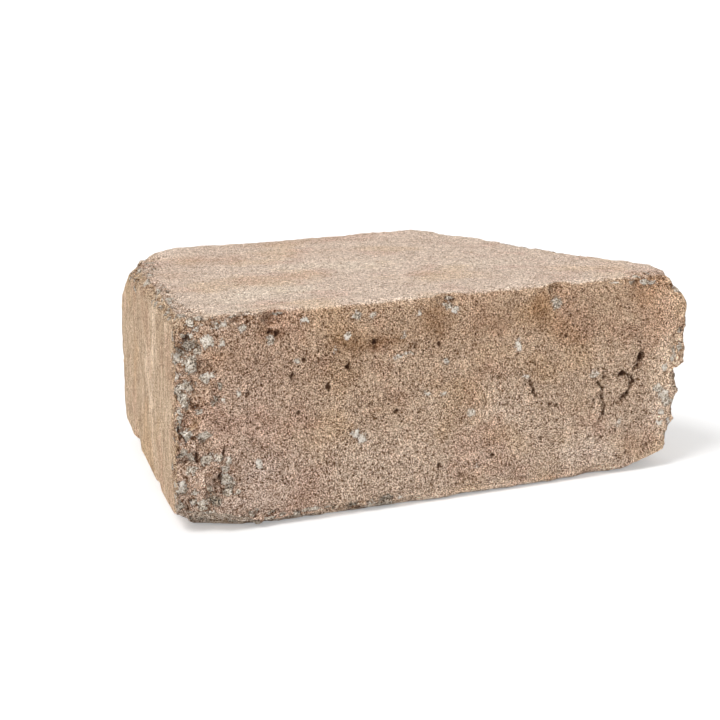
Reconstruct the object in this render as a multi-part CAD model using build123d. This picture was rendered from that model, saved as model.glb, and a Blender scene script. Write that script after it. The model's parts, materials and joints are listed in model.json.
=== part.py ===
"""Concrete garden wall block: one cast unit, trapezoid in plan, with its edges worn by tumbling.

The long front face shows in the wall. The sides taper to a shorter back, so that blocks laid side by side
turn round a curve. Tumbling has rounded every edge, knocked off corners and bitten chips out of the edges.
Units are millimetres. X runs along the front face, Y from the front to the back, and Z up. The origin is
the middle of the footprint, on the bed that the block lies on.
"""

from build123d import *
from math import cos, radians, sin
import os

# Driving sizes of the cast unit, before wear
FRONT_LENGTH = 259.0
BACK_LENGTH = 166.0
DEPTH = 176.0
HEIGHT = 92.0

# Rounding that tumbling leaves on the edges
UPRIGHT_RADIUS = 4.0
TOP_RADIUS = 3.5
BED_RADIUS = 5.5

HALF_FRONT = FRONT_LENGTH / 2
HALF_BACK = BACK_LENGTH / 2
HALF_DEPTH = DEPTH / 2

# Corners of the bed, and the direction that each face looks in
FRONT_LEFT = Vector(-HALF_FRONT, -HALF_DEPTH, 0)
FRONT_RIGHT = Vector(HALF_FRONT, -HALF_DEPTH, 0)
BACK_RIGHT = Vector(HALF_BACK, HALF_DEPTH, 0)
BACK_LEFT = Vector(-HALF_BACK, HALF_DEPTH, 0)
SIDE_LENGTH = (BACK_RIGHT - FRONT_RIGHT).length
TAPER = (HALF_FRONT - HALF_BACK) / SIDE_LENGTH
SLOPE = DEPTH / SIDE_LENGTH
FRONT = Vector(0, -1, 0)
BACK = Vector(0, 1, 0)
LEFT = Vector(-SLOPE, TAPER, 0)
RIGHT = Vector(SLOPE, TAPER, 0)
UP = Vector(0, 0, 1)
DOWN = Vector(0, 0, -1)


def between(start, end, distance, height=0.0):
    """A point that far along an edge of the plan from its start, at a height above the bed."""
    return start + (end - start).normalized() * distance + Vector(0, 0, height)


def cast_block():
    """The unit before breaks: a trapezoid of one height, with its edges rounded."""
    outline = make_face(Polyline(FRONT_LEFT, FRONT_RIGHT, BACK_RIGHT, BACK_LEFT, close=True))
    block = extrude(outline, amount=HEIGHT, dir=(0, 0, 1))
    block = fillet(block.edges().filter_by(Axis.Z), UPRIGHT_RADIUS)
    block = fillet(block.faces().sort_by(Axis.Z)[-1].edges(), TOP_RADIUS)
    return fillet(block.faces().sort_by(Axis.Z)[0].edges(), BED_RADIUS)


def beyond(point, outward):
    """All that lies further out than a point."""
    size = 400.0
    slab = Box(size, size, size, align=(Align.CENTER, Align.CENTER, Align.MIN))
    return Plane(origin=point, z_dir=outward) * slab


def knock(point, outward, depth):
    """What a flat break takes off: all that lies further out than depth inside the point."""
    return beyond(point - outward.normalized() * depth, outward)


def bite(point, outward, width, depth):
    """What a hollow chip takes off: a ball that cuts depth into the block, width across at the surface."""
    radius = (width**2 / 4 + depth**2) / (2 * depth)
    centre = point + outward.normalized() * (radius - depth)
    return Pos(centre) * Sphere(radius)


def splinter(point, outward, width, depth, turn=0.0):
    """What a sharp chip takes off: a three-sided hollow, deepest in the middle, turned by some degrees."""
    out = outward.normalized()
    level = out.cross(UP).normalized()
    upright = out.cross(level)
    slope = 2 * depth / width
    angles = [radians(turn + side * 120) for side in range(3)]
    leans = [level * cos(angle) + upright * sin(angle) for angle in angles]
    first, second, third = (beyond(point - out * depth, out + lean * slope) for lean in leans)
    return first & second & third


def corner_knocks():
    """The broken corners, each as flats that make it blunt."""
    top = Vector(0, 0, HEIGHT)
    return [
        # Top, back left: the largest broken corner
        knock(BACK_LEFT + top, LEFT * 1.0 + BACK * 0.6 + UP * 1.0, 14.5),
        knock(BACK_LEFT + top, LEFT * 1.0 + BACK * 0.9 + UP * 0.35, 7.5),
        knock(BACK_LEFT + top, LEFT * 0.4 + BACK * 0.5 + UP * 1.0, 10.3),
        # Top, front right
        knock(FRONT_RIGHT + top, RIGHT * 1.0 + FRONT * 0.5 + UP * 0.8, 11.4),
        knock(FRONT_RIGHT + top, RIGHT * 1.0 + FRONT * 0.7 + UP * 0.35, 7.5),
        knock(FRONT_RIGHT + top, RIGHT * 0.45 + FRONT * 0.35 + UP * 1.0, 4.4),
        # Top, front left
        knock(FRONT_LEFT + top, LEFT * 0.8 + FRONT * 1.0 + UP * 0.9, 9.0),
        # Top, back right
        knock(BACK_RIGHT + top, RIGHT * 1.0 + BACK * 0.4 + UP * 0.8, 5.5),
        # Bed, front left
        knock(FRONT_LEFT, LEFT * 0.7 + FRONT * 0.5 + DOWN * 1.0, 10.5),
        knock(FRONT_LEFT, LEFT * 0.35 + FRONT * 0.6 + DOWN * 1.0, 13.2),
        # Bed, back left
        knock(BACK_LEFT, LEFT * 1.0 + BACK * 0.7 + DOWN * 0.8, 11.0),
        # Bed, front right
        knock(FRONT_RIGHT, RIGHT * 1.0 + FRONT * 0.5 + DOWN * 0.8, 15.5),
        knock(FRONT_RIGHT, RIGHT * 0.3 + FRONT * 0.5 + DOWN * 1.0, 11.0),
        # Bed, back right
        knock(BACK_RIGHT, RIGHT * 0.8 + BACK * 1.0 + DOWN * 0.7, 8.0),
    ]


def edge_knocks():
    """Flats along whole edges, each a little out of line with its edge."""
    return [
        # Front left upright: a long break that faces forward
        knock(between(FRONT_LEFT, FRONT_RIGHT, 0, 30), FRONT * 1.0 + LEFT * 0.42 + UP * 0.02, 5.0),
        # Front right upright: broken back below mid height
        knock(between(FRONT_RIGHT, BACK_RIGHT, 0, 20), RIGHT * 1.0 + FRONT * 0.75 + DOWN * 0.20, 7.4),
        # Left bed edge: two flats that meet near the middle
        knock(between(FRONT_LEFT, BACK_LEFT, 20), LEFT * 0.8 + DOWN * 1.0 + FRONT * 0.02, 6.0),
        knock(between(FRONT_LEFT, BACK_LEFT, 130), LEFT * 0.9 + DOWN * 0.9 + BACK * 0.03, 7.0),
        # Right, back and front bed edges
        knock(between(FRONT_RIGHT, BACK_RIGHT, 90), RIGHT * 0.8 + DOWN * 1.0, 4.5),
        knock(between(BACK_LEFT, BACK_RIGHT, 80), BACK * 1.0 + DOWN * 0.8 + LEFT * 0.02, 4.0),
        # Left top edge
        knock(between(FRONT_LEFT, BACK_LEFT, 80, HEIGHT), LEFT * 1.0 + UP * 0.8, 2.8),
    ]


def edge_bites():
    """The hollow chips, edge by edge: where on the edge, which way the chip looks, its width and depth."""
    return [
        # Front left upright, from the bed up
        bite(between(FRONT_LEFT, FRONT_RIGHT, 11, 12), FRONT * 1.0 + LEFT * 0.4 + UP * 0.05, 24, 5.0),
        bite(between(FRONT_LEFT, FRONT_RIGHT, 22, 22), FRONT * 1.0 + LEFT * 0.2, 15, 2.6),
        splinter(between(FRONT_LEFT, FRONT_RIGHT, 3, 31), FRONT * 1.0 + LEFT * 0.6 + DOWN * 0.3, 18, 8.4, 20),
        bite(between(FRONT_LEFT, FRONT_RIGHT, 14, 36), FRONT * 1.0 + LEFT * 0.35, 17, 3.8),
        splinter(between(FRONT_LEFT, FRONT_RIGHT, 4, 50), FRONT * 1.0 + LEFT * 0.6 + UP * 0.3, 17, 8.0, 75),
        bite(between(FRONT_LEFT, FRONT_RIGHT, 9, 62), FRONT * 1.0 + LEFT * 0.5, 21, 4.4),
        bite(between(FRONT_LEFT, FRONT_RIGHT, 16, 70), FRONT * 1.0 + LEFT * 0.3, 14, 2.8),
        splinter(between(FRONT_LEFT, FRONT_RIGHT, 5, 78), FRONT * 1.0 + LEFT * 0.5 + DOWN * 0.3, 17, 8.0, 50),
        # Front right upright, from the bed up
        bite(between(FRONT_RIGHT, FRONT_LEFT, 1, 13), RIGHT * 1.0 + FRONT * 0.5, 20, 11.5),
        splinter(
            between(FRONT_RIGHT, FRONT_LEFT, 1, 40.5), RIGHT * 1.0 + FRONT * 0.7 + DOWN * 0.15, 18, 14.5, 90
        ),
        bite(between(FRONT_RIGHT, FRONT_LEFT, 1, 28), RIGHT * 1.0 + FRONT * 0.5, 14, 9.0),
        # Left bed edge, from the front
        bite(between(FRONT_LEFT, BACK_LEFT, 60, 5), LEFT * 1.0 + DOWN * 0.8, 24, 3.2),
        bite(between(FRONT_LEFT, BACK_LEFT, 128, 6), LEFT * 1.0 + DOWN * 0.7, 32, 6.5),
        # Front bed edge, from the left
        bite(between(FRONT_LEFT, FRONT_RIGHT, 76, 0), FRONT * 1.0 + DOWN * 1.0, 34, 4.6),
        bite(between(FRONT_LEFT, FRONT_RIGHT, 110, 0), FRONT * 1.0 + DOWN * 1.2, 22, 4.0),
        bite(between(FRONT_LEFT, FRONT_RIGHT, 207, 0), FRONT * 1.0 + DOWN * 1.2, 28, 4.8),
        # Front top edge, from the left
        bite(between(FRONT_LEFT, FRONT_RIGHT, 25, HEIGHT), FRONT * 1.0 + UP * 0.8, 26, 4.0),
        bite(between(FRONT_LEFT, FRONT_RIGHT, 45, HEIGHT - 4), FRONT * 1.0 + UP * 0.6, 12, 3.0),
        bite(between(FRONT_LEFT, FRONT_RIGHT, 128, HEIGHT - 2), FRONT * 1.0 + UP * 0.8, 14, 3.0),
        bite(between(FRONT_LEFT, FRONT_RIGHT, 185, HEIGHT - 4), FRONT * 1.0 + UP * 0.5, 12, 2.4),
        # Right top edge, from the back
        bite(between(BACK_RIGHT, FRONT_RIGHT, 26, HEIGHT), RIGHT * 0.8 + UP * 1.0, 24, 3.6),
        bite(between(BACK_RIGHT, FRONT_RIGHT, 75, HEIGHT), RIGHT * 0.8 + UP * 1.0, 18, 3.0),
        bite(between(BACK_RIGHT, FRONT_RIGHT, 108, HEIGHT), RIGHT * 0.8 + UP * 1.0, 20, 3.2),
        # Left top edge, near the broken back corner
        bite(between(BACK_LEFT, FRONT_LEFT, 30, HEIGHT), LEFT * 1.0 + UP * 0.9, 24, 5.0),
    ]


block = cast_block()
for break_off in corner_knocks() + edge_knocks() + edge_bites():
    block -= break_off
os.makedirs("parts", exist_ok=True)
export_step(block, "parts/wall_block.step")
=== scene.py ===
"""Looks of the tumbled concrete garden wall block.

The skin is a fine mesh that starts from the block's solid. Relief is cut into it in code: wobble, pits,
drag marks, chipped edges and the coarse aggregate that broken places show. What each point is made of is
kept on the mesh as named values, and the material reads them. Units are metres, in the block's own frame.
"""

import itertools
import json
import math
from types import SimpleNamespace

import bpy
import numpy as np
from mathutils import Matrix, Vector
from mathutils.kdtree import KDTree


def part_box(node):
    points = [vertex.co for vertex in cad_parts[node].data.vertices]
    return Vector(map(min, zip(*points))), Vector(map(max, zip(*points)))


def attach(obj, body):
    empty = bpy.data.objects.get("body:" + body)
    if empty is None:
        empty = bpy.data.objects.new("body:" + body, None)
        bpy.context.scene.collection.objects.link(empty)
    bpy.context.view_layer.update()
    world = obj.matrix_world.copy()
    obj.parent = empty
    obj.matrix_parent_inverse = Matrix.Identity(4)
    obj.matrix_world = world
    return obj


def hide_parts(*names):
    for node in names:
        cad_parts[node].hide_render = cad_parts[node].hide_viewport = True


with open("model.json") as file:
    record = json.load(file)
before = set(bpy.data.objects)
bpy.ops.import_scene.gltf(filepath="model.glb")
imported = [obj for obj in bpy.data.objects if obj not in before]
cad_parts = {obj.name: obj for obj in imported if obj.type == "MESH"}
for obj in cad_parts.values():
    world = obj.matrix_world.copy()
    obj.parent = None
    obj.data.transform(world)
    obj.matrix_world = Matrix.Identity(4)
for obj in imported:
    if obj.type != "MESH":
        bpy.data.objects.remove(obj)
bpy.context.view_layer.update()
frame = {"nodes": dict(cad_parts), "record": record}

MM = 0.001
NODE = "wall_block"
SLOT = "tumbled_concrete"

# Skin mesh: voxel that it starts from, and the triangles that it is reduced to
VOXEL = 0.62 * MM
TRIANGLES = 196000

LOW, HIGH = (np.array(corner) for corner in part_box(NODE))
TOP_Z = HIGH[2]
FRONT_Y = LOW[1]
BACK_Y = HIGH[1]
HALF_BACK = 83 * MM

# How far behind the front's plane its spots and its cracks still show
SPOT_REACH = 9 * MM
CRACK_REACH = 6 * MM

# What a field of marks holds where no mark is near, in mm, and the least that the material reads
FAR = -4.0
LEAST_MARK = -2.0
LEAST_PIT = -1.5


def face_planes():
    """A point on each flat face and the way that it looks, by name. The record's mounts give most of them."""
    planes = {m["name"]: (np.array(m["pos_m"]), np.array(m["axis"])) for m in frame["record"]["mounts"]}
    planes["front"] = (np.array([0, FRONT_Y, 0]), np.array([0, -1, 0]))
    planes["back"] = (np.array([0, BACK_Y, 0]), np.array([0, 1, 0]))
    return planes


# Noise on points, the same on each run

def hashed(cells_at, seed):
    """A number from 0 to 1 for each whole-number cell."""
    x, y, z = (cells_at[:, k].astype(np.uint32) for k in range(3))
    mixed = x * np.uint32(73856093) ^ y * np.uint32(19349663) ^ z * np.uint32(83492791)
    mixed ^= np.uint32(seed * 2654435761 % 2**32)
    for multiplier in (0x7feb352d, 0x846ca68b):
        mixed ^= mixed >> np.uint32(15)
        mixed *= np.uint32(multiplier)
    mixed ^= mixed >> np.uint32(16)
    return (mixed & np.uint32(0xffffff)) / float(0x1000000)


def hash_again(number):
    """Another number from 0 to 1, from one."""
    return (number * 7919.37) % 1.0


def noise(points, size, seed, octaves=1):
    """Smooth noise, about -1 to 1, with features that far across. Each octave is half the size and height."""
    total = np.zeros(len(points))
    for octave in range(octaves):
        scaled = points / (size / 2**octave) + 17.3 * octave
        base = np.floor(scaled).astype(np.int64)
        near = scaled - base
        near = near * near * (3 - 2 * near)
        for corner in itertools.product((0, 1), repeat=3):
            weight = np.prod(np.where(corner, near, 1 - near), axis=1)
            total += weight * (hashed(base + corner, seed + octave) * 2 - 1) / 2**octave
    return total


def cells(points, size, seed):
    """The distance to the nearest of the seeds that lie one to a cell, and that seed's number."""
    scaled = points / size
    base = np.floor(scaled).astype(np.int64)
    nearest = np.full(len(points), 9.0)
    number = np.zeros(len(points))
    for offset in itertools.product((-1, 0, 1), repeat=3):
        cell = base + offset
        place = cell + np.stack([hashed(cell, seed + k) for k in (1, 2, 3)], axis=1)
        distance = np.linalg.norm(place - scaled, axis=1)
        closer = distance < nearest
        nearest[closer] = distance[closer]
        number[closer] = hashed(cell, seed)[closer]
    return nearest * size, number


def ramp(values, start, end):
    """0 at start and before, 1 at end and after, smooth between. start may be the larger."""
    t = np.clip((values - start) / (end - start), 0, 1)
    return t * t * (3 - 2 * t)


# Marks that the photo shows

# Stones and specks that the front face shows: x, z, half width, half height, all in mm, and tone from 0 to 1.
# The places here and in the tables below were picked in the photo and turned into millimetres on
# the block, to about half a millimetre.
FRONT_STONES = [
    (-111, 87.5, 1.6, 1.2, 0.72), (-106.5, 88.5, 2.0, 0.9, 0.80), (-99, 86, 1.8, 1.6, 0.62),
    (-121.5, 80, 1.8, 2.2, 0.50), (-126, 76, 1.6, 2.2, 0.80), (-115, 82, 2.4, 3.2, 0.74),
    (-108.5, 80.5, 1.2, 1.4, 0.85), (-121, 72, 2.8, 4.0, 0.50), (-113.5, 67.5, 2.8, 1.2, 0.80),
    (-126.5, 67.5, 1.2, 2.2, 0.82), (-124, 57.5, 2.2, 3.0, 0.60), (-125, 50, 1.5, 4.0, 0.74),
    (-123.5, 43, 1.8, 2.8, 0.80), (-116, 42, 2.8, 2.6, 0.66), (-125, 34, 2.4, 1.6, 0.15),
    (-115, 32.5, 1.4, 2.0, 0.62), (-110.5, 32.5, 1.6, 2.0, 0.54), (-106.5, 31.5, 1.4, 2.0, 0.58),
    (-107, 27.5, 1.8, 1.8, 0.68), (-106.5, 22.5, 2.0, 2.4, 0.70), (-92.5, 28, 1.5, 2.2, 0.92),
    (-125.5, 21, 2.2, 3.0, 0.99), (-112, 15, 2.8, 2.2, 0.03), (-125.5, 13, 2.2, 2.0, 0.46),
    (-113.5, 8.5, 2.0, 1.6, 0.50), (-87, 3, 3.0, 1.6, 0.60), (-108.5, 57, 1.1, 1.1, 0.88),
    (-101.5, 59, 0.8, 2.2, 0.92), (-87, 80, 1.8, 2.4, 0.58), (-71.5, 86.5, 1.9, 1.2, 0.94),
    (-46.5, 86.5, 2.4, 1.6, 0.52), (-39, 86, 1.5, 1.2, 0.78), (-51, 78, 1.3, 1.1, 0.86),
    (-57, 73, 0.8, 1.1, 0.86), (-74.5, 69.5, 1.3, 1.2, 0.68), (-47, 35.5, 1.9, 1.6, 0.98),
    (-44, 33, 2.2, 2.0, 0.84), (-2, 86.5, 2.4, 1.5, 0.38), (1, 84.5, 1.9, 1.2, 0.97),
    (-16.5, 84.5, 1.2, 1.1, 0.82), (-24.5, 76, 1.4, 1.6, 0.76), (-27.5, 67, 2.2, 0.8, 0.82),
    (-22, 67.5, 1.6, 0.8, 0.82), (-3, 62, 1.1, 1.1, 0.95), (-12.5, 49, 2.4, 0.8, 0.82),
    (-4.5, 48, 1.8, 0.8, 0.80), (10, 38, 2.2, 2.0, 0.62), (13, 14, 1.2, 1.1, 0.94),
    (34, 65.5, 1.5, 3.0, 0.78), (38, 51, 1.2, 1.1, 0.92), (54, 83, 2.6, 2.6, 0.42),
    (74.5, 48.5, 2.2, 2.0, 0.68), (113.5, 47.5, 1.8, 1.4, 0.80), (118.5, 51.5, 1.6, 1.6, 0.70),
    (110.5, 38, 2.8, 2.0, 0.68), (113, 26.5, 1.8, 1.3, 0.84), (112, 21.5, 1.7, 1.6, 0.98),
    (117.5, 21, 1.0, 2.4, 0.95), (88.5, 24.5, 1.1, 1.4, 0.84), (114, 34.5, 3.0, 2.2, 0.74),
    (115.5, 31, 2.0, 1.8, 0.66), (-122.5, 84, 2.6, 1.2, 0.76), (-119.5, 86.5, 1.4, 1.0, 0.80),
    (85.5, 89.5, 2.6, 0.7, 0.86), (102, 89.5, 1.6, 0.9, 0.86), (105.5, 87.5, 2.4, 0.8, 0.86),
    (-123, 63.5, 1.6, 2.0, 0.68), (-119, 53, 1.5, 1.4, 0.56), (-121.5, 28.5, 1.8, 1.2, 0.58),
    (-119.5, 17.5, 1.6, 1.2, 0.66), (-31.5, 5, 2.6, 1.7, 0.28), (-25.5, 5, 0.9, 1.3, 0.92),
    (-39, 4, 2.2, 1.0, 0.55), (-47.5, 3, 2.2, 1.1, 0.30), (-67, 5.5, 2.0, 1.2, 0.86),
    (-93, 2.5, 2.0, 1.2, 0.22),
]

# Dark holes on the front face: x, z, half width, half height and depth, all in mm
FRONT_HOLES = [
    (100.5, 54, 1.9, 2.2, 3.4), (98.5, 52.5, 0.8, 0.7, 1.8), (97, 49, 0.9, 0.7, 1.8),
    (99, 49.5, 0.6, 0.6, 1.2), (91, 47, 0.9, 0.5, 1.4), (96, 43.5, 0.9, 1.7, 2.2),
    (94.5, 41.5, 0.9, 0.7, 1.8), (93, 37.5, 1.1, 0.8, 1.8), (90, 35.5, 0.8, 0.5, 1.2),
    (85.5, 47, 0.7, 0.5, 1.2), (80, 46, 0.6, 0.6, 1.2), (82, 46, 0.5, 0.5, 1.0),
    (81, 33.5, 0.9, 0.8, 1.5), (79, 37, 0.5, 1.5, 1.5), (74.5, 36, 0.7, 0.7, 1.1),
    (70, 44, 0.5, 0.9, 1.2), (68, 62, 0.5, 0.9, 1.0), (72, 19.5, 0.7, 0.6, 1.0),
    (-38.5, 74.5, 1.2, 1.1, 1.6), (-50.5, 65, 0.7, 1.9, 1.6), (-87, 83.5, 1.2, 1.3, 1.8),
    (-84, 82.5, 1.1, 1.2, 1.8), (-77, 63.5, 0.6, 1.6, 1.3), (-71.5, 70, 0.9, 0.9, 1.0),
    (-60, 57, 0.7, 1.6, 1.2), (-74, 47.5, 0.8, 0.7, 1.0), (-28, 43, 0.9, 0.7, 1.2),
    (-6.5, 70, 0.8, 1.2, 1.2), (-6.5, 16.5, 1.0, 1.1, 1.2), (54.5, 36, 0.8, 0.7, 1.1),
    (50.5, 37, 0.6, 0.8, 1.0), (41.5, 24, 0.7, 0.7, 1.2), (93.5, 9.5, 0.8, 0.6, 1.0),
    (-122.5, 83, 0.7, 2.2, 2.0), (-126, 46, 0.8, 2.2, 1.8), (-127, 38, 0.9, 1.6, 1.8),
    (-118.5, 33.5, 0.7, 1.8, 1.6), (-108.5, 35, 0.6, 2.2, 1.6), (-108.5, 24.5, 0.6, 1.8, 1.4),
]

# Cracks on the front face: half width and depth in mm, then the x, z points that it runs through
FRONT_CRACKS = [
    (0.62, 1.8, [(88.5, 47), (91, 47.5), (93.5, 45.5), (94, 44)]),
    (0.60, 1.5, [(94.5, 41.5), (93.5, 39.5), (93, 37.5), (90, 35.5)]),
    (0.60, 1.5, [(77, 44), (78.5, 42.5), (79.5, 41)]),
    (0.62, 1.5, [(79.5, 39), (79, 37), (80.5, 33.5)]),
    (0.48, 1.1, [(80.5, 31.5), (80.5, 29.5), (78.5, 27), (76.5, 24.5)]),
    (0.55, 1.3, [(40.5, 48.5), (42, 44.5), (43.5, 42)]),
]

# Patches of the front face that are browner or paler: x, z, half width, half height in mm, and -1 to 1
FRONT_PATCHES = [
    (-86, 83, 4.5, 4, -0.8), (-112.5, 74, 4, 4, -0.5), (-52.5, 74.5, 9, 5, -0.7),
    (-33, 73.5, 12, 3.5, -0.9), (-9, 80.5, 5, 7, -1.0), (47, 82, 3.5, 7, -1.0),
    (99.5, 83.5, 8, 4.5, -0.8), (22, 76, 16, 9, -0.5), (-103, 73, 9, 6, -0.4),
    (-31, 46, 16, 6, -0.4), (72, 70, 18, 10, -0.3), (-66, 60, 12, 10, -0.3),
    (-112, 33, 4.5, 4, -0.4), (88, 34, 7, 6, -0.3), (-11, 15, 7, 6, -0.3),
    (98, 19, 8, 5, -0.3), (-72, 8, 6, 5, -0.4), (19.5, 42.5, 9, 11, 0.6),
    (32.5, 34.5, 9, 7, 0.5), (-98.5, 58, 8, 7, 0.3), (-47, 33, 7, 6, 0.5),
    (-24, 66.5, 6, 2.5, 0.5), (-8.5, 48.5, 7, 3, 0.6), (32, 66, 3.5, 5, 0.6),
    (65, 14.5, 12, 7, 0.7), (25, 17, 14, 8, 0.5), (-92.5, 27.5, 7, 5, 0.5),
    (-30, 22, 14, 8, 0.3), (116, 30, 8, 14, 1.0), (118, 62, 7, 16, 0.7),
    (-106, 89.5, 10, 2.5, 1.0), (112, 84, 12, 8, 0.8), (119, 46, 7, 12, 0.8),
    (-60, 24, 12, 8, 0.3), (85, 12, 10, 4, 0.5),
]

# The same for the left side, whose places are y and z
LEFT_PATCHES = [
    (-25, 80, 4.5, 13, 1.0), (-18, 66, 6, 6, 0.6), (-5, 56, 10, 8, 0.8),
    (-20, 54, 4, 8, 0.8), (-13, 39, 5, 9, 1.0), (-17, 22, 5, 6, 0.6),
    (-62, 81, 4, 7, 0.6), (-64, 46, 7, 9, 0.4), (38, 60, 9, 10, 0.3),
    (70, 74, 9, 12, 0.4), (-42, 35, 6, 10, 0.3), (10, 80, 16, 10, -0.3),
    (-45, 80, 7, 12, -0.4), (30, 32, 14, 12, -0.2),
]

# The same for the top, whose places are x and y
TOP_PATCHES = [
    (-64, -46, 22, 12, 1.0), (-89, -60, 10, 9, 0.6), (0, -5, 22, 13, 0.8),
    (-34, 6, 16, 8, 0.5), (53, -25, 18, 10, 0.6), (-100, -76, 12, 5, 0.5),
    (0, 74, 34, 9, -0.8), (-62, 38, 18, 10, -0.7), (8, 40, 14, 8, -0.5),
    (10, -42, 12, 6, -0.6), (62, 48, 16, 10, -0.3), (-33, 45, 14, 8, -0.5),
    (-88, 11, 8, 14, -0.7), (-50, -70, 14, 5, -0.3), (97, -58, 12, 9, -0.3),
]


def gap_to_line(places, start, end):
    """How far each place is from the line between two ends."""
    start, end = np.array(start), np.array(end)
    along = np.clip((places - start) @ (end - start) / ((end - start) @ (end - start)), 0, 1)
    return np.linalg.norm(places - start - along[:, None] * (end - start), axis=1)


def wandering(points, size, reach, seed):
    """The points, each moved up to that reach by noise, so that what is drawn there gets a ragged line."""
    shifts = [noise(points, size, seed + k, 2) for k in range(3)]
    return points + np.stack(shifts, axis=1) * reach


def spot_field(points, spots):
    """How far inside the nearest spot each point of the front face is, in mm, and that spot's last number."""
    field = np.full(len(points), FAR)
    last = np.full(len(points), spots[0][-1], float)
    behind = points[:, 1] > FRONT_Y + SPOT_REACH
    for x, z, half_width, half_height, value in spots:
        across = (points[:, 0] / MM - x) / half_width
        up = (points[:, 2] / MM - z) / half_height
        inside = (1 - np.hypot(across, up)) * math.sqrt(half_width * half_height)
        inside[behind] = FAR
        better = inside > field
        field[better] = inside[better]
        last[better] = value
    return field, last


def crack_field(points, bent):
    """How far inside the nearest crack each point of the front face is, in mm, and how deep that crack is."""
    field = np.full(len(points), FAR)
    depth = np.zeros(len(points))
    plane = bent[:, [0, 2]] / MM
    swell = 0.7 + 1.5 * noise(points, 1.3 * MM, 86, 2)
    for half_width, deep, route in FRONT_CRACKS:
        for start, end in zip(route, route[1:]):
            inside = half_width * swell - gap_to_line(plane, start, end)
            better = inside > field
            field[better] = inside[better]
            depth[better] = deep
    field[points[:, 1] > FRONT_Y + CRACK_REACH] = FAR
    return field, depth


def patch_field(points, patches, axes):
    """The patches of one face as a soft field from -1 to 1. axes are the two that their places are on."""
    total = np.zeros(len(points))
    for first, second, half_width, half_height, amount in patches:
        across = (points[:, axes[0]] / MM - first) / half_width
        up = (points[:, axes[1]] / MM - second) / half_height
        total += amount * np.exp(-0.7 * (across**2 + up**2))
    return np.clip(total, -1, 1)


def seen_patches(points, faces):
    """Browner and paler patches, from -1 to 1, on the three faces that the photo shows."""
    wide = wandering(points, 9 * MM, 3 * MM, 91)
    patch = faces.front * patch_field(wide, FRONT_PATCHES, (0, 2))
    patch = patch + faces.top * patch_field(wide, TOP_PATCHES, (0, 1))
    return patch + faces.side * (points[:, 0] < 0) * patch_field(wide, LEFT_PATCHES, (1, 2))


def broken_places():
    """Lines where the cast skin is gone and the aggregate shows: two ends in metres, and the reach in mm."""
    left, right = LOW[0], HIGH[0]
    bend = (-94 * MM, BACK_Y - 46 * MM, TOP_Z)
    return [
        # Seen in the photo: the front's two ends, its bed edge, and the left top edge
        ((left, FRONT_Y, 0), (left, FRONT_Y, TOP_Z), 17),
        ((left + 6 * MM, FRONT_Y, 20 * MM), (left + 22 * MM, FRONT_Y, 22 * MM), 11),
        ((left + 6 * MM, FRONT_Y, 4 * MM), (left + 40 * MM, FRONT_Y, 2 * MM), 9),
        ((left + 6 * MM, FRONT_Y, TOP_Z), (left + 34 * MM, FRONT_Y, TOP_Z), 8),
        ((left + 10 * MM, FRONT_Y + 4 * MM, TOP_Z), (left + 14 * MM, FRONT_Y + 18 * MM, TOP_Z), 9),
        ((left + 34 * MM, FRONT_Y, 2 * MM), (left + 108 * MM, FRONT_Y, 1 * MM), 5),
        ((right, FRONT_Y, 4 * MM), (right, FRONT_Y, 58 * MM), 13),
        ((right - 30 * MM, FRONT_Y, TOP_Z), (right, FRONT_Y, TOP_Z - 6 * MM), 8),
        ((-HALF_BACK, BACK_Y, TOP_Z), bend, 15),
        (bend, (left + 6 * MM, FRONT_Y + 6 * MM, TOP_Z - 2 * MM), 6.5),
        # Guessed: the back's two uprights, its top and bed edges, and the right side's
        ((-HALF_BACK, BACK_Y, 8 * MM), (-HALF_BACK, BACK_Y, 40 * MM), 8),
        ((HALF_BACK, BACK_Y, 6 * MM), (HALF_BACK, BACK_Y, 48 * MM), 9),
        ((-28 * MM, BACK_Y, TOP_Z), (36 * MM, BACK_Y, TOP_Z), 5),
        ((14 * MM, BACK_Y, 2 * MM), (70 * MM, BACK_Y, 2 * MM), 6),
        ((115 * MM, -34 * MM, TOP_Z), (100 * MM, 22 * MM, TOP_Z), 6),
        ((118 * MM, -48 * MM, 2 * MM), (96 * MM, 38 * MM, 2 * MM), 6),
    ]


def broken_field(points):
    """How broken the surface is, and how near an edge, each from 0 to 1. It is also broken where cut back."""
    inside = np.stack([(place - points) @ axis for place, axis in face_planes().values()], axis=1)
    inside.sort(axis=1)
    field = ramp(inside[:, 0] + noise(points, 7 * MM, 11, 2) * 0.5 * MM, 1.3 * MM, 2.6 * MM)
    ragged = 1 + 0.45 * noise(points, 12 * MM, 12, 3)
    for start, end, reach in broken_places():
        limit = reach * MM * ragged
        field = np.maximum(field, ramp(gap_to_line(points, start, end), limit, limit * 0.55))
    near_edge = ramp(inside[:, 1], 7 * MM, 1 * MM)
    return field, near_edge


# Relief of the skin, in mm

def share_of_faces(normals):
    """How much each point belongs to each kind of face, from 0 to 1. rough is the front and the back."""
    front = ramp(-normals[:, 1], 0.6, 0.85)
    back = ramp(normals[:, 1], 0.6, 0.85)
    top = ramp(normals[:, 2], 0.6, 0.85)
    bed = ramp(-normals[:, 2], 0.6, 0.85)
    side = np.clip(1 - front - back - top - bed, 0, 1)
    rough = np.clip(front + back, 0, 1)
    return SimpleNamespace(front=front, back=back, top=top, bed=bed, side=side, rough=rough)


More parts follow.
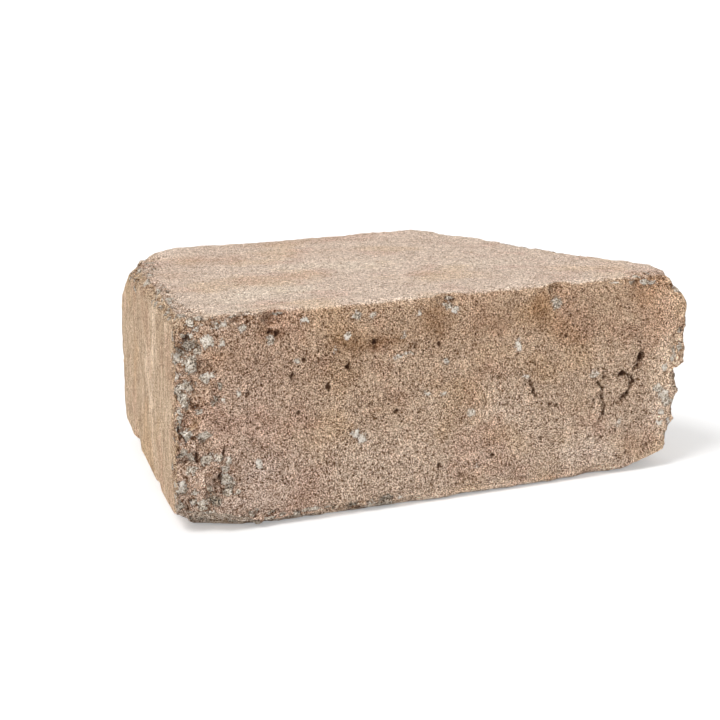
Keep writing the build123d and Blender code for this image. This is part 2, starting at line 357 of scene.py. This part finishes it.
def cast_surface(points, faces, coarse, fine):
    """The cut that makes the cast faces uneven: a slow wobble, and roughness that differs by face."""
    wobble = noise(points, 45 * MM, 21, 2) * 0.35 + 0.4
    drawn = noise(points * np.array([1, 1, 0.25]), 3.2 * MM, 24, 2)
    cut = wobble + faces.rough * (0.26 * coarse + 0.2 * fine) + faces.top * (0.13 * coarse + 0.1 * fine)
    cut += faces.bed * (0.12 * coarse + 0.1 * fine) + faces.side * (0.08 * drawn + 0.05 * fine)
    return cut


def pits(bent, faces):
    """Pits that are large enough for the mesh: how far inside one each point is, and the cut."""
    distance, number = cells(bent, 4.2 * MM, 41)
    share = 0.34 * faces.rough + 0.16 * faces.top + 0.12 * faces.bed + 0.06 * faces.side
    inside = np.where(hash_again(number) < share, 0.45 + 0.75 * number**3 - distance / MM, FAR)
    return inside, ramp(inside, -0.2, 0.4) * (0.5 + 0.6 * number)


def edge_wear(bent, near_edge, coarse):
    """The cut that wears edges back in small scallops."""
    distance, number = cells(bent, 7.5 * MM, 51)
    chip = ramp(distance, 4.2 * MM, 1.2 * MM) * ramp(number, 0.25, 1.0)
    return near_edge * (0.25 + 0.4 * coarse + 1.1 * chip)


def rubble(points, bent, broken, fine):
    """Broken places: a rough matrix in blunt lumps, with crevices, and stones standing out of it.

    Gives the cut, how deep in a crevice each point is from 0 to 1, how far inside a stone, and its tone.
    """
    distance, number = cells(bent, 4.2 * MM, 61)
    stone = (0.9 + 1.6 * number) - distance / MM
    stone[hash_again(number) > 0.46] = FAR
    dome = np.sqrt(np.clip(stone / 1.6, 0, 1))
    _, lump = cells(bent, 5.5 * MM, 66)
    crag = noise(points, 6.5 * MM, 71, 4)
    crevice = ramp(np.abs(noise(bent, 3.8 * MM, 76, 2)), 0.11, 0.0) * (1 - dome)
    depth = 0.7 + 0.6 * crag + 0.9 * (lump - 0.5) + 0.3 * fine + crevice - 0.8 * dome
    cut = broken * np.clip(depth, 0, 2.8)
    # deep: where the crevices of broken places are, which the material darkens with painted shade and dirt
    deep = broken * crevice * ramp(noise(points, 6 * MM, 79), -0.35, 0.25)

    # A few stones are nearly black, and the rest lie between brown and pale
    dark_share = 0.14
    tone = hash_again(number + 0.37)
    tone = np.where(tone < dark_share, tone, 0.30 + 0.56 * tone)
    return cut, deep, np.where(broken > 0.3, stone, FAR), tone


def back_marks(places, back, size, seed, least, spread):
    """Marks strewn over the back, which the photo does not show: how far inside one each point is."""
    distance, number = cells(places, size, seed)
    wanted = (back > 0.5) & (hash_again(number) < 0.5)
    return np.where(wanted, least + spread * number - distance / MM, FAR)


def relief(points, normals):
    """How far each point is cut back in metres, and the named values that the material reads."""
    faces = share_of_faces(normals)
    broken, near_edge = broken_field(points)
    bent = wandering(points, 2.5 * MM, 0.7 * MM, 31)
    ragged = wandering(points, 1.5 * MM, 0.7 * MM, 81)
    coarse = noise(points, 6 * MM, 22, 3)
    fine = noise(points, 1.9 * MM, 23, 2)

    cut = cast_surface(points, faces, coarse, fine)
    pit, pit_cut = pits(bent, faces)
    cut += pit_cut
    cut += edge_wear(bent, near_edge, coarse)
    rubble_cut, deep, stone, stone_tone = rubble(points, bent, broken, fine)
    cut += rubble_cut

    spot, spot_tone = spot_field(ragged, FRONT_STONES)
    hole, hole_depth = spot_field(ragged, FRONT_HOLES)
    crack, crack_depth = crack_field(points, ragged)
    void = back_marks(ragged, faces.back, 13 * MM, 97, 0.3, 0.8)
    void_depth = 1.2
    spot_height = 0.3
    cut += ramp(hole, -0.05, 0.45) * hole_depth + ramp(crack, -0.10, 0.45) * crack_depth
    cut += ramp(void, -0.05, 0.45) * void_depth
    cut -= spot_height * ramp(spot, -0.1, 0.5)

    loose = np.maximum(stone, back_marks(bent, faces.back, 12 * MM, 96, 0.7, 1.3))
    use_spot = spot > loose

    # The grain of the front and the back reaches round onto their worn edges
    grained = ramp(np.abs(normals[:, 1]), 0.4, 0.75) * (1 - faces.top) * (1 - faces.bed)
    down = -normals[:, 2]
    values = {
        "front": grained * np.where(normals[:, 1] < 0, 1.0, 0.9),
        "top": faces.top,
        "bed": faces.bed,
        "broken": broken,
        "side": np.clip(1 - grained - faces.top - faces.bed, 0, 1),
        "edge": near_edge,
        "deep": deep,
        "patch": seen_patches(points, faces),
        # How far a slope looks down, not counting the bed: the material paints fill light there
        "under": ramp(down, 0.05, 0.5) - faces.bed * ramp(down, 0.8, 0.95),
        "pit": np.maximum(pit, LEAST_PIT),
        "dark": np.maximum.reduce([hole, crack, void, np.full(len(points), LEAST_MARK)]),
        "stone": np.maximum(np.where(use_spot, spot, loose), LEAST_MARK),
        "tone": np.where(use_spot, spot_tone, stone_tone),
    }
    return np.clip(cut, 0, None) * MM, values


# The skin

def start_mesh():
    """A fine even mesh of the block's solid, a little softened, as a new object."""
    skin = bpy.data.objects.new("block_skin", frame["nodes"][NODE].data.copy())
    bpy.context.scene.collection.objects.link(skin)
    remesh = skin.modifiers.new("even", "REMESH")
    remesh.mode = "VOXEL"
    remesh.voxel_size = VOXEL
    soften = skin.modifiers.new("soften", "SMOOTH")
    soften.factor = 0.5
    soften.iterations = 6
    apply_modifiers(skin)
    return skin


def apply_modifiers(piece):
    """Makes the piece's mesh what its modifiers give."""
    shown = piece.evaluated_get(bpy.context.evaluated_depsgraph_get())
    mesh = bpy.data.meshes.new_from_object(shown)
    piece.modifiers.clear()
    piece.data = mesh


def read(mesh, what, width):
    """A mesh's vertex values as an array of that width."""
    values = np.zeros(len(mesh.vertices) * width)
    mesh.vertices.foreach_get(what, values)
    return values.reshape(-1, width)


def thin_out(skin, values):
    """Reduces the skin to the triangles that it may have, and spares the marks."""
    skin.data.calc_loop_triangles()
    reducible = skin.vertex_groups.new(name="reducible")
    marked = np.maximum(values["dark"], values["stone"] - 0.5) > -1.2
    reducible.add(np.flatnonzero(~marked).tolist(), 1.0, "REPLACE")
    reducible.add(np.flatnonzero(marked).tolist(), 0.5, "REPLACE")
    reduce = skin.modifiers.new("reduce", "DECIMATE")
    reduce.ratio = min(1.0, TRIANGLES / len(skin.data.loop_triangles))
    reduce.vertex_group = reducible.name
    apply_modifiers(skin)
    skin.vertex_groups.clear()


def store(mesh, places, values):
    """Gives each point of the mesh the values of the nearest of those places."""
    tree = KDTree(len(places))
    for index, place in enumerate(places):
        tree.insert(place, index)
    tree.balance()
    nearest = np.array([tree.find(v.co)[1] for v in mesh.vertices])
    for name, value in values.items():
        stored = mesh.attributes.new(name, "FLOAT", "POINT")
        stored.data.foreach_set("value", value[nearest].astype(np.float32))


def make_skin():
    """The block's visible piece."""
    skin = start_mesh()
    points = read(skin.data, "co", 3)
    normals = read(skin.data, "normal", 3)
    cut, values = relief(points, normals)
    moved = np.clip(points - normals * cut[:, None], LOW, HIGH)
    skin.data.vertices.foreach_set("co", moved.ravel())
    skin.data.update()
    thin_out(skin, values)
    kept = np.clip(read(skin.data, "co", 3), LOW, HIGH)
    skin.data.vertices.foreach_set("co", kept.ravel())
    store(skin.data, moved, values)
    skin.data.shade_smooth()
    return skin


# Material

def srgb(red, green, blue):
    """A colour as the photo gives it, from 0 to 255, as Blender's linear colour."""
    linear = [((c / 255 + 0.055) / 1.055) ** 2.4 for c in (red, green, blue)]
    return (*linear, 1.0)


class Graph:
    """Nodes of one material, added with few words. A value is a socket, a number or a colour."""

    def __init__(self, tree):
        self.tree = tree
        tree.nodes.clear()

    def feed(self, socket, value):
        """Links the value to the socket, or sets it there."""
        if isinstance(value, bpy.types.NodeSocket):
            self.tree.links.new(value, socket)
        else:
            socket.default_value = value

    def add(self, kind, settings=None, values=None):
        """A new node with those settings, and values for its inputs."""
        node = self.tree.nodes.new(kind)
        for name, value in (settings or {}).items():
            setattr(node, name, value)
        for name, value in (values or {}).items():
            self.feed(node.inputs[name], value)
        return node

    def sum(self, operation, first, second=0.0, third=0.0):
        """What one operation makes of up to three values."""
        node = self.add("ShaderNodeMath", {"operation": operation}, {0: first, 1: second, 2: third})
        return node.outputs[0]

    def times(self, first, second):
        """One value times another."""
        return self.sum("MULTIPLY", first, second)

    def total(self, *pairs):
        """The sum of values, each times its own weight."""
        running = 0.0
        for value, weight in pairs:
            running = self.sum("MULTIPLY_ADD", value, weight, running)
        return running

    def read(self, name):
        """A value that the mesh holds under that name."""
        return self.add("ShaderNodeAttribute", {"attribute_name": name}).outputs["Fac"]

    def noise(self, vector, size, detail=2.0, roughness=0.5, distortion=0.0):
        """Smooth noise from 0 to 1, with features of that size."""
        values = {"Vector": vector, "Scale": 1 / size, "Detail": detail, "Roughness": roughness,
                  "Distortion": distortion}
        return self.add("ShaderNodeTexNoise", None, values).outputs[0]

    def mottled(self, vector, size, detail, roughness, low=0.3, high=0.7):
        """Noise stretched so that low to high becomes -1 to 1."""
        return self.ramp(self.noise(vector, size, detail, roughness), low, high, -1.0, 1.0)

    def grains(self, vector, size):
        """The distance to the nearest grain of that size, and a number from 0 to 1 for that grain."""
        node = self.add("ShaderNodeTexVoronoi", None, {"Vector": vector, "Scale": 1 / size})
        number = self.add("ShaderNodeSeparateColor", None, {0: node.outputs["Color"]}).outputs[0]
        return node.outputs["Distance"], number

    def ramp(self, value, start, end, low=0.0, high=1.0):
        """low at start and before, high at end and after, and smooth between."""
        node = self.add("ShaderNodeMapRange", {"interpolation_type": "SMOOTHSTEP"},
                        {"Value": value, "From Min": start, "From Max": end, "To Min": low, "To Max": high})
        return node.outputs[0]

    def mix(self, factor, first, second, blend="MIX"):
        """The first colour blended with the second, by that factor."""
        node = self.add("ShaderNodeMix", {"data_type": "RGBA", "blend_type": blend})
        for socket, value in zip((node.inputs[0], node.inputs[6], node.inputs[7]), (factor, first, second)):
            self.feed(socket, value)
        return node.outputs[2]

    def tinted(self, colour, amount, tint):
        """The colour times a tint, by that amount."""
        return self.mix(amount, colour, self.mix(1.0, colour, tint, "MULTIPLY"))

    def scaled(self, colour, amount):
        """The colour times a number."""
        node = self.add("ShaderNodeVectorMath", {"operation": "SCALE"}, {0: colour, "Scale": amount})
        return node.outputs[0]

    def shades(self, value, stops):
        """The colour that a value has on a ramp of stops, each a position and a colour."""
        node = self.add("ShaderNodeValToRGB", None, {"Fac": value})
        elements = node.color_ramp.elements
        for position, _ in stops[1:-1]:
            elements.new(position)
        for element, (position, shade) in zip(elements, stops):
            element.position = position
            element.color = shade
        return node.outputs[0]

    def stretch(self, vector, scale):
        """The vector with each axis scaled."""
        return self.add("ShaderNodeMapping", None, {"Vector": vector, "Scale": scale}).outputs[0]


def paste_colour(g, place):
    """The colour of the cement and sand as a whole: one for each face, with wide patches."""
    front, top, side = (g.read(name) for name in ("front", "top", "side"))
    along, _, height = g.add("ShaderNodeSeparateXYZ", None, {0: place}).outputs
    paste = g.mix(front, srgb(201, 171, 139), srgb(200, 170, 142))
    paste = g.mix(top, paste, srgb(222, 196, 173))
    paste = g.mix(g.read("bed"), paste, srgb(188, 168, 148))

    # The front is browner near the top, paler near the bed, and mauve towards the left
    paste = g.tinted(paste, g.times(front, g.ramp(height, 40 * MM, 85 * MM)), (0.95, 0.90, 0.84, 1.0))
    paste = g.tinted(paste, g.times(front, g.ramp(height, 45 * MM, 10 * MM)), (1.04, 1.075, 1.13, 1.0))
    mauve = g.times(front, g.ramp(along, -50 * MM, -95 * MM))
    paste = g.tinted(paste, mauve, (0.97, 0.955, 1.0, 1.0))

    # Wide clouds of pink and tan on all faces
    pink = g.ramp(g.noise(place, 30 * MM, 3.0, 0.6), 0.50, 0.64)
    paste = g.tinted(paste, pink, (0.97, 0.91, 0.90, 1.0))
    tan = g.ramp(g.noise(g.stretch(place, (1.0, 1.0, 1.4)), 41 * MM, 2.0, 0.5), 0.50, 0.66)
    tan = g.times(tan, g.sum("SUBTRACT", 1.0, mauve))
    paste = g.tinted(paste, tan, (1.0, 0.96, 0.88, 1.0))

    # The patches that the photo shows, each face with its own browner and paler tint
    patch = g.read("patch")
    browner = g.mix(top, (0.72, 0.63, 0.54, 1.0), (0.88, 0.80, 0.74, 1.0))
    paler = g.mix(top, (1.17, 1.23, 1.31, 1.0), (1.07, 1.12, 1.12, 1.0))
    paler = g.mix(side, paler, (1.26, 1.33, 1.42, 1.0))
    paste = g.tinted(paste, g.ramp(patch, 0.0, -1.0), browner)
    paste = g.tinted(paste, g.ramp(patch, 0.0, 1.0), paler)

    # Worn places and the front's right end are paler. Slopes that look down are paler too: painted fill light
    worn = g.sum("MAXIMUM", g.times(g.read("broken"), 0.5), g.times(g.read("edge"), 0.2))
    paste = g.tinted(paste, worn, (1.13, 1.11, 1.07, 1.0))
    right_end = g.times(front, g.ramp(along, 98 * MM, 118 * MM))
    paste = g.tinted(paste, right_end, (1.22, 1.22, 1.20, 1.0))
    # Painted fill light: slopes that look down, which the lamps leave dim, are made paler in the colour
    return g.tinted(paste, g.read("under"), (1.45, 1.47, 1.50, 1.0))


def sand_colour(g, value):
    """What a grain does to the paste's colour: deep brown at 0, the paste itself at a half, and pale at 1."""
    brightest = 2.2
    stops = [(0.0, (0.30, 0.22, 0.16)), (0.25, (0.66, 0.60, 0.54)), (0.5, (1.0, 1.0, 1.0)),
             (0.75, (1.25, 1.33, 1.45)), (1.0, (1.70, 1.93, 2.2))]
    scaled = [(position, (*(c / brightest for c in shade), 1.0)) for position, shade in stops]
    return g.scaled(g.shades(value, scaled), brightest)


def stone_colour(g, place, tone, grain):
    """Crushed stone, from near black at 0 to white at 1, mottled with darker and paler flecks."""
    stops = [(0.0, srgb(66, 58, 52)), (0.2, srgb(118, 106, 94)), (0.4, srgb(168, 148, 124)),
             (0.6, srgb(200, 182, 158)), (0.8, srgb(232, 217, 200)), (1.0, srgb(252, 243, 232))]
    flecks = g.ramp(g.noise(place, 0.9 * MM, 4.0, 0.8), 0.36, 0.57, -1.0, 0.7)
    flecks = g.total((flecks, 0.75), (grain, 0.35))
    flecks = g.times(flecks, g.sum("MULTIPLY_ADD", tone, -0.6, 1.05))
    return g.shades(g.sum("ADD", g.sum("ADD", tone, flecks), 0.01), stops)


def textures(g, place):
    """The noise that several layers of the material share, each from -1 to 1, and the grains' distance."""
    grain_distance, grain_tone = g.grains(place, 0.42 * MM)
    return SimpleNamespace(
        grain_distance=grain_distance,
        grain=g.ramp(grain_tone, 0.0, 1.0, -1.0, 1.0),
        fine=g.mottled(place, 0.34 * MM, 1.0, 0.5, 0.32, 0.68),
        cluster=g.mottled(place, 2.4 * MM, 3.0, 0.65),
        wide=g.mottled(place, 6.0 * MM, 3.0, 0.6),
        mottle=g.mottled(place, 1.5 * MM, 4.0, 0.75),
        drawn=g.mottled(g.stretch(place, (1.0, 1.0, 0.33)), 4.2 * MM, 4.0, 0.65),
    )


def sanded(g, colour, t, top, broken, grainy):
    """The colour with sand: each grain lighter or darker than the next, with drag marks on the sides."""
    on_front = g.total((t.grain, 0.54), (t.fine, 0.70), (t.cluster, 0.03), (t.wide, 0.06))
    on_top = g.total((t.grain, 0.46), (t.fine, 0.60), (t.mottle, 0.20), (t.cluster, 0.12), (t.wide, 0.07))
    on_side = g.total((t.grain, 0.38), (t.fine, 0.56), (t.mottle, 0.16), (t.cluster, 0.12), (t.wide, 0.06),
                      (t.drawn, 0.22))
    flat_top = g.times(top, g.sum("SUBTRACT", 1.0, broken))
    plain = g.times(g.sum("SUBTRACT", 1.0, grainy), g.sum("SUBTRACT", 1.0, top))
    sand = g.sum("ADD", g.times(on_front, grainy), g.times(on_top, flat_top))
    sand = g.sum("MULTIPLY_ADD", on_side, plain, sand)
    sand = g.sum("MULTIPLY_ADD", g.times(t.mottle, broken), 0.26, sand)
    return g.mix(1.0, colour, sand_colour(g, g.sum("ADD", sand, 0.5)), "MULTIPLY")


def pored(g, colour, place, t, front, grainy):
    """The colour with small pits between the grains, in dark brown and painted shade, and how much of a pit
    there is.
    """
    # Smooth lumps of paste have fewer pits
    lump, lump_tone = g.grains(g.stretch(place, (1.0, 1.0, 1.15)), 7.0 * MM)
    smooth = g.times(g.times(g.ramp(lump, 0.46, 0.22), g.ramp(lump_tone, 0.45, 0.75)), front)
    crowding = g.ramp(g.noise(place, 15 * MM, 2.0, 0.5), 0.35, 0.65)
    density = g.total((smooth, -0.09), (crowding, 0.045))
    hollow = g.sum("ADD", g.noise(place, 0.56 * MM, 2.0, 0.6), density)
    limit = g.sum("MULTIPLY_ADD", grainy, -0.058, 0.675)
    beyond = g.sum("SUBTRACT", hollow, limit)
    colour = g.tinted(colour, smooth, (1.09, 1.08, 1.08, 1.0))
    colour = g.tinted(colour, g.times(g.ramp(beyond, -0.055, -0.01), grainy), (1.14, 1.15, 1.17, 1.0))

    speck_distance, speck_tone = g.grains(place, 1.3 * MM)
    speck = g.sum("SUBTRACT", g.ramp(speck_tone, 0.45, 1.0, 0.0, 0.38), speck_distance)
    speck = g.times(g.ramp(speck, -0.03, 0.05), g.sum("MULTIPLY_ADD", grainy, 0.45, 0.55))
    vein = g.sum("ABSOLUTE", g.sum("SUBTRACT", g.noise(place, 2.6 * MM, 3.0, 0.6, 0.8), 0.5))
    vein_shows = g.ramp(g.noise(place, 2.3 * MM, 2.0, 0.5), 0.56, 0.62)
    stroke = g.times(g.ramp(vein, 0.022, 0.008), vein_shows)
    stroke = g.times(stroke, g.sum("MULTIPLY_ADD", grainy, 0.8, 0.2))
    pores = g.sum("MAXIMUM", g.sum("MAXIMUM", g.ramp(beyond, 0.0, 0.02), speck), stroke)
    # Pores, specks and strokes get dark brown with painted shade in them
    return g.tinted(colour, pores, (0.22, 0.13, 0.075, 1.0)), pores


def crumbled(g, colour, t, matrix, broken):
    """The mixed matrix of broken places, with painted shade and light on its lumps, and painted shade and
    dirt in crevices.
    """
    # Painted shade where the matrix noise is low and painted light where it is high; the same noise raises
    # the bump
    colour = g.tinted(colour, g.times(broken, g.ramp(matrix, 0.50, 0.36)), (0.66, 0.58, 0.50, 1.0))
    colour = g.tinted(colour, g.times(broken, g.ramp(matrix, 0.50, 0.64)), (1.14, 1.18, 1.24, 1.0))
    # Painted shade and dirt in the crevices of broken places
    crevice = g.ramp(g.sum("MULTIPLY_ADD", t.fine, 0.15, g.read("deep")), 0.25, 0.7)
    return g.tinted(colour, crevice, (0.22, 0.15, 0.10, 1.0))


def stony(g, colour, place, t, matrix, broken):
    """The colour with stones, from near black to white, in a rim of painted shade, and how much of one there
    is.
    """
    ragged = g.total((t.fine, 0.25), (t.grain, 0.20), (t.mottle, 0.85))
    inside = g.sum("ADD", g.read("stone"), ragged)
    on_stone = g.ramp(inside, -0.10, 0.35)
    rim = g.times(g.ramp(inside, -0.45, -0.10), broken)
    # Painted shade in a rim round each stone of broken places, darkest where the matrix lies low
    colour = g.tinted(colour, g.times(rim, g.ramp(matrix, 0.56, 0.44)), (0.52, 0.42, 0.33, 1.0))
    return g.mix(on_stone, colour, stone_colour(g, place, g.read("tone"), t.grain)), on_stone


def concrete():
    """Tumbled concrete: sandy paste, pits, drag marks on the sides, and aggregate where it is broken."""
    material = bpy.data.materials.new(SLOT)
    material.use_nodes = True
    g = Graph(material.node_tree)
    place = g.add("ShaderNodeTexCoord").outputs["Object"]
    front, top, side, broken = (g.read(name) for name in ("front", "top", "side", "broken"))
    t = textures(g, place)
    grainy = g.sum("MAXIMUM", front, broken)
    colour = sanded(g, paste_colour(g, place), t, top, broken, grainy)
    colour, pores = pored(g, colour, place, t, front, grainy)

    # Pits that are cut into the mesh, made darker: their own dark brown and painted shade
    rough_rim = g.total((t.fine, 0.12), (t.cluster, 0.30))
    in_pit = g.ramp(g.sum("ADD", g.read("pit"), rough_rim), -0.1, 0.3)
    colour = g.tinted(colour, g.times(in_pit, 0.8), (0.30, 0.21, 0.15, 1.0))

    # The matrix noise gives the broken places' bumps and the painted shade and light that go with them
    matrix = g.noise(place, 3.2 * MM, 4.0, 0.75)
    colour = crumbled(g, colour, t, matrix, broken)

    # Edges scuffed pale in places
    scuff = g.ramp(g.noise(place, 4.5 * MM, 4.0, 0.7), 0.52, 0.66, 0.0, 0.25)
    colour = g.tinted(colour, g.times(scuff, g.read("edge")), (1.22, 1.30, 1.42, 1.0))
    colour, on_stone = stony(g, colour, place, t, matrix, broken)

    # Holes and cracks, in dark brown with painted shade in them
    ragged_hole = g.total((g.read("dark"), 1.0), (t.fine, 0.30), (t.grain, 0.40), (t.mottle, 0.35))
    in_hole = g.ramp(ragged_hole, -0.02, 0.12)
    colour = g.mix(g.times(in_hole, 0.95), colour, srgb(70, 38, 20))

    # Fine relief
    height = g.total((t.grain_distance, -0.20 * MM), (t.fine, 0.07 * MM), (t.cluster, 0.16 * MM),
                     (t.wide, 0.20 * MM), (pores, -0.45 * MM), (in_pit, -0.3 * MM), (on_stone, 0.3 * MM),
                     (g.times(matrix, broken), 2.0 * MM), (g.times(t.drawn, side), 0.10 * MM))
    bump = g.add("ShaderNodeBump", None, {"Height": height, "Distance": 1.0, "Strength": 1.0})
    shader = g.add("ShaderNodeBsdfPrincipled", None,
                   {"Base Color": colour, "Roughness": g.ramp(t.cluster, -1.0, 1.0, 0.84, 0.97),
                    "Normal": bump.outputs[0], "Specular IOR Level": 0.3})
    g.add("ShaderNodeOutputMaterial", None, {"Surface": shader.outputs[0]})
    return material


# Studio

def seen(g):
    """1 for rays that show something to the camera, also in mirrors and through glass, and 0 for the rest."""
    rays = g.add("ShaderNodeLightPath").outputs
    straight_or_mirrored = g.sum("MAXIMUM", rays["Is Camera Ray"], rays["Is Glossy Ray"])
    return g.sum("MAXIMUM", straight_or_mirrored, rays["Is Transmission Ray"])


def studio_floor():
    """A wide pale floor, white to the camera where it isn't in the block's shadow."""
    half = 30.0
    corners = [(-half, -half, 0), (half, -half, 0), (half, half, 0), (-half, half, 0)]
    mesh = bpy.data.meshes.new("studio_floor")
    mesh.from_pydata(corners, [], [(0, 1, 2, 3)])
    floor = bpy.data.objects.new("studio_floor", mesh)
    bpy.context.scene.collection.objects.link(floor)
    material = bpy.data.materials.new("studio_white")
    material.use_nodes = True
    g = Graph(material.node_tree)
    matt = g.add("ShaderNodeBsdfDiffuse", None, {"Color": (0.8, 0.8, 0.8, 1.0)})
    glow = g.add("ShaderNodeEmission", None, {"Strength": g.times(seen(g), 0.3)})
    both = g.add("ShaderNodeAddShader", None, {0: matt.outputs[0], 1: glow.outputs[0]})
    g.add("ShaderNodeOutputMaterial", None, {"Surface": both.outputs[0]})
    mesh.materials.append(material)


def world_light(strength):
    """Even light from all round, and white behind everything."""
    world = bpy.data.worlds.new("studio")
    world.use_nodes = True
    g = Graph(world.node_tree)
    level = g.sum("MAXIMUM", seen(g), strength)
    background = g.add("ShaderNodeBackground", None, {"Color": (1, 1, 1, 1), "Strength": level})
    g.add("ShaderNodeOutputWorld", None, {"Surface": background.outputs[0]})
    bpy.context.scene.world = world


def soft_sun(name, comes_from, strength, spread_degrees):
    """A wide soft light from one direction."""
    light = bpy.data.lights.new(name, "SUN")
    light.energy = strength
    light.angle = math.radians(spread_degrees)
    lamp = bpy.data.objects.new(name, light)
    lamp.rotation_euler = Vector(comes_from).to_track_quat("Z", "Y").to_euler()
    bpy.context.scene.collection.objects.link(lamp)


def camera():
    """The photo's view: from the front left, a little above, fitted to the block's corners."""
    pitch, yaw = math.radians(12.16), math.radians(28.46)
    focal_pixels = 1976.0
    image_pixels = 720
    data = bpy.data.cameras.new("photo_view")
    data.sensor_width = 36.0
    data.lens = data.sensor_width * focal_pixels / image_pixels
    data.clip_end = 100.0
    holder = bpy.data.objects.new("photo_view", data)
    holder.location = (-0.43152, -0.80040, 0.24186)
    looks = Vector((math.sin(yaw) * math.cos(pitch), math.cos(yaw) * math.cos(pitch), -math.sin(pitch)))
    holder.rotation_euler = looks.to_track_quat("-Z", "Y").to_euler()
    bpy.context.scene.collection.objects.link(holder)
    bpy.context.scene.camera = holder


skin = make_skin()
skin.data.materials.clear()
skin.data.materials.append(concrete())
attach(skin, "root")
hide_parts(NODE)

camera()
studio_floor()
world_light(0.66)
soft_sun("key", (-0.76, -0.29, 1.0), strength=1.7, spread_degrees=22)
soft_sun("fill", (-0.8, -1.0, 0.12), strength=0.85, spread_degrees=40)
bpy.context.scene.view_settings.view_transform = "Standard"
